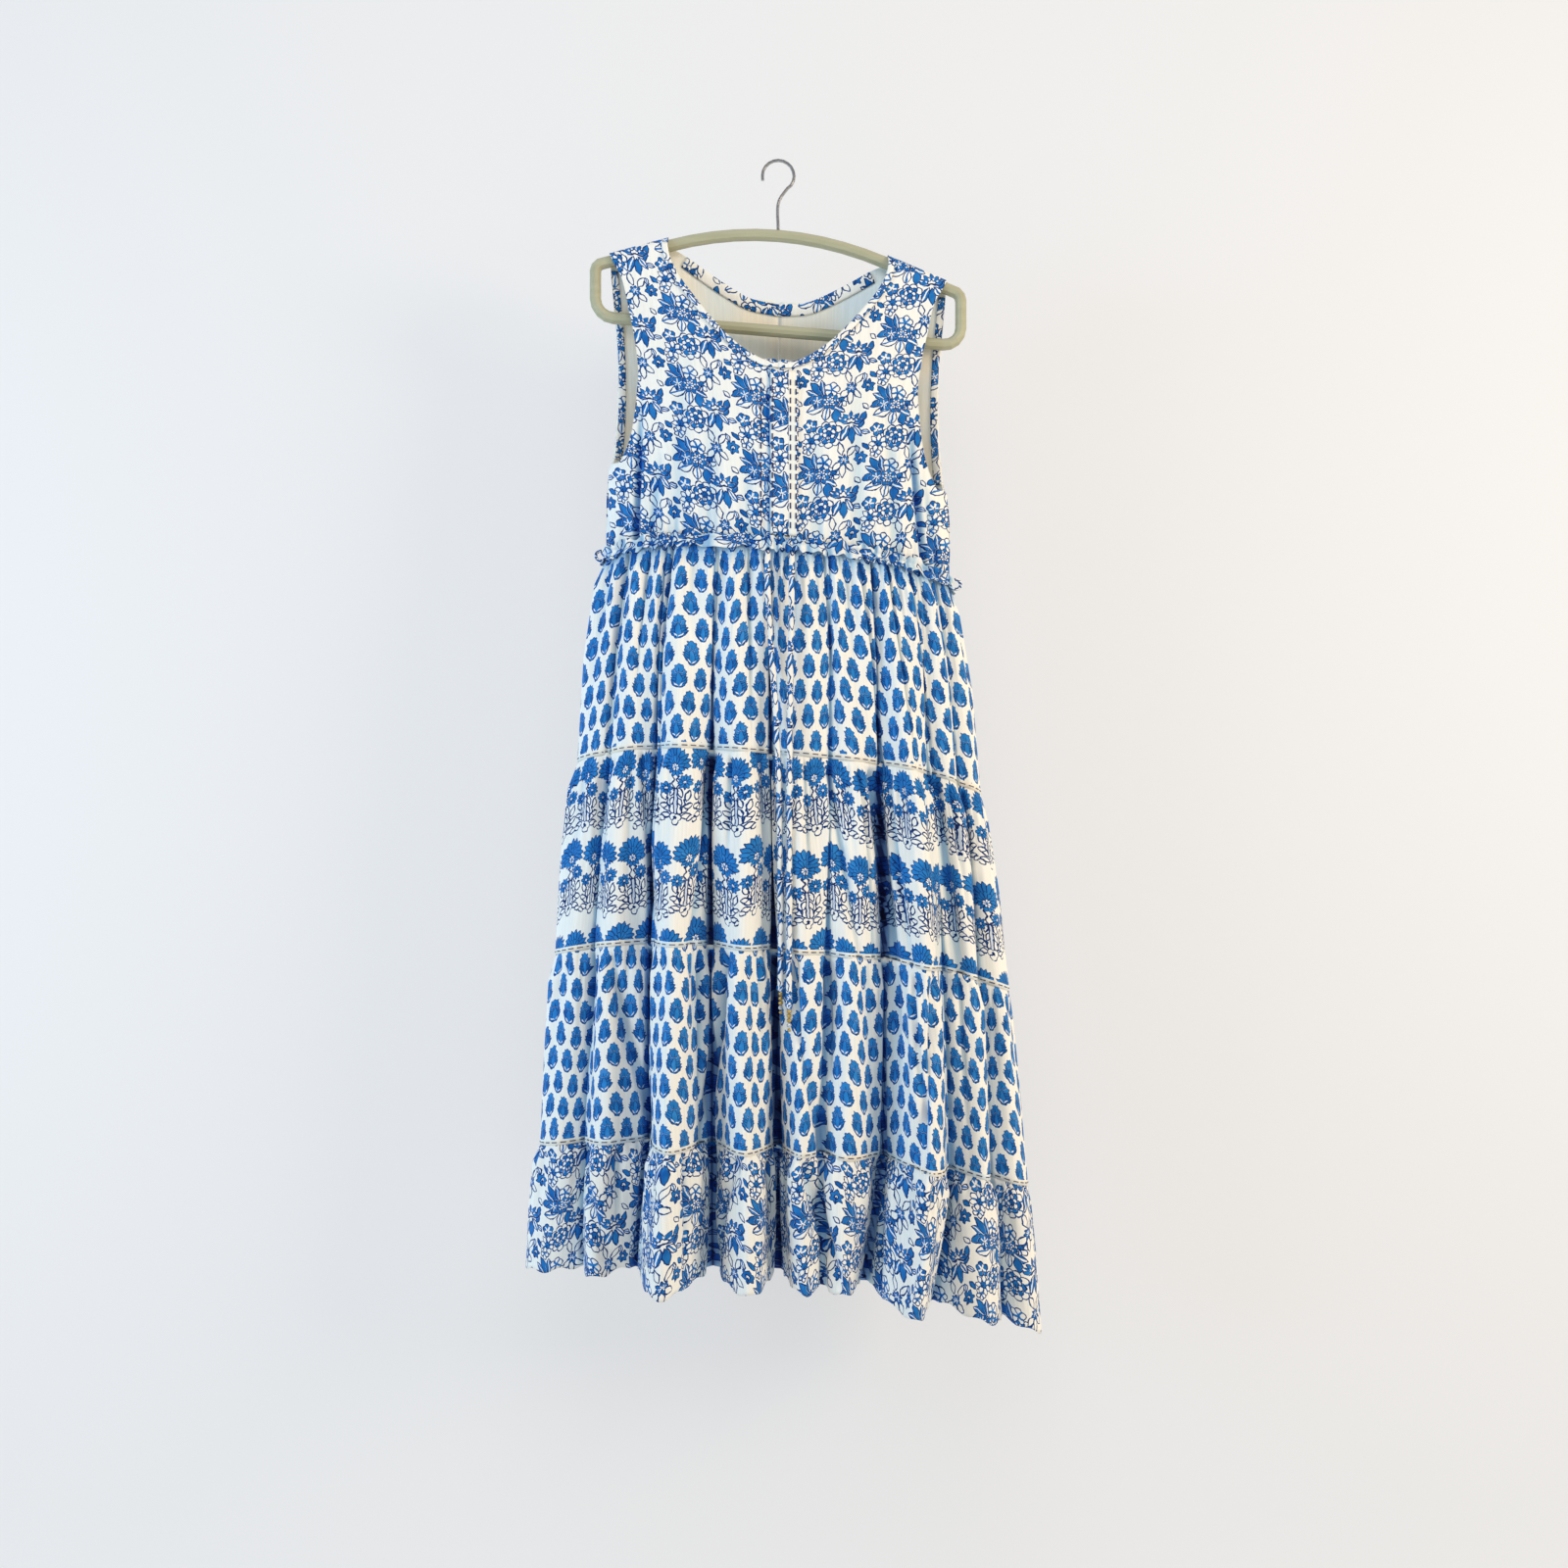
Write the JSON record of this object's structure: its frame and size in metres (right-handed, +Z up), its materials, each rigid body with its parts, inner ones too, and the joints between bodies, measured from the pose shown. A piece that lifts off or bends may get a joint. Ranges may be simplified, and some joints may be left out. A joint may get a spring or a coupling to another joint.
{
  "type": "tiered maxi dress on a hanger",
  "caption": "Sleeveless V-neck maxi dress of printed voile in gathered tiers, with a frilled tie seam under the bust, hung on a tube hanger.",
  "frame": {"origin": "top of the inside of the hanger's hook, where a rail holds it", "axes": "+Z up, +X to the right and -Y towards the viewer when the dress's front is looked at"},
  "size_m": [0.575, 0.2399, 1.3117],
  "materials": {
    "floral_print": "matt cotton voile, cream with a blue block-printed floral",
    "buti_print": "matt cotton voile, cream with small blue block-printed sprigs",
    "plant_print": "matt cotton voile, cream with tall blue block-printed plants",
    "plain_lining": "matt plain cream cotton voile",
    "painted_tube": "satin sage beige",
    "hook_wire": "polished wire",
    "gold_bead": "polished small beads"
  },
  "bodies": {
    "root": {"bodice_front_left": "floral_print", "bodice_front_right": "floral_print", "bodice_back_left": "floral_print", "bodice_back_right": "floral_print", "lining_back_left": "plain_lining", "lining_back_right": "plain_lining", "neck_binding_left": "floral_print", "neck_binding_right": "floral_print", "neck_facing_left": "floral_print", "neck_facing_right": "floral_print", "armhole_binding_front_left": "floral_print", "armhole_binding_front_right": "floral_print", "armhole_binding_back_left": "floral_print", "armhole_binding_back_right": "floral_print", "placket": "floral_print", "waist_frill_front": "floral_print", "waist_frill_back": "floral_print", "tier_1_front": "buti_print", "tier_1_back": "buti_print", "tier_2_front": "plant_print", "tier_2_back": "plant_print", "tier_3_front": "buti_print", "tier_3_back": "buti_print", "tier_4_front": "floral_print", "tier_4_back": "floral_print", "tie_left": "floral_print", "tie_right": "floral_print", "tie_beads_left": "gold_bead", "tie_beads_right": "gold_bead", "hanger_frame": "painted_tube", "hanger_hook": "hook_wire"}
  },
  "joints": []
}
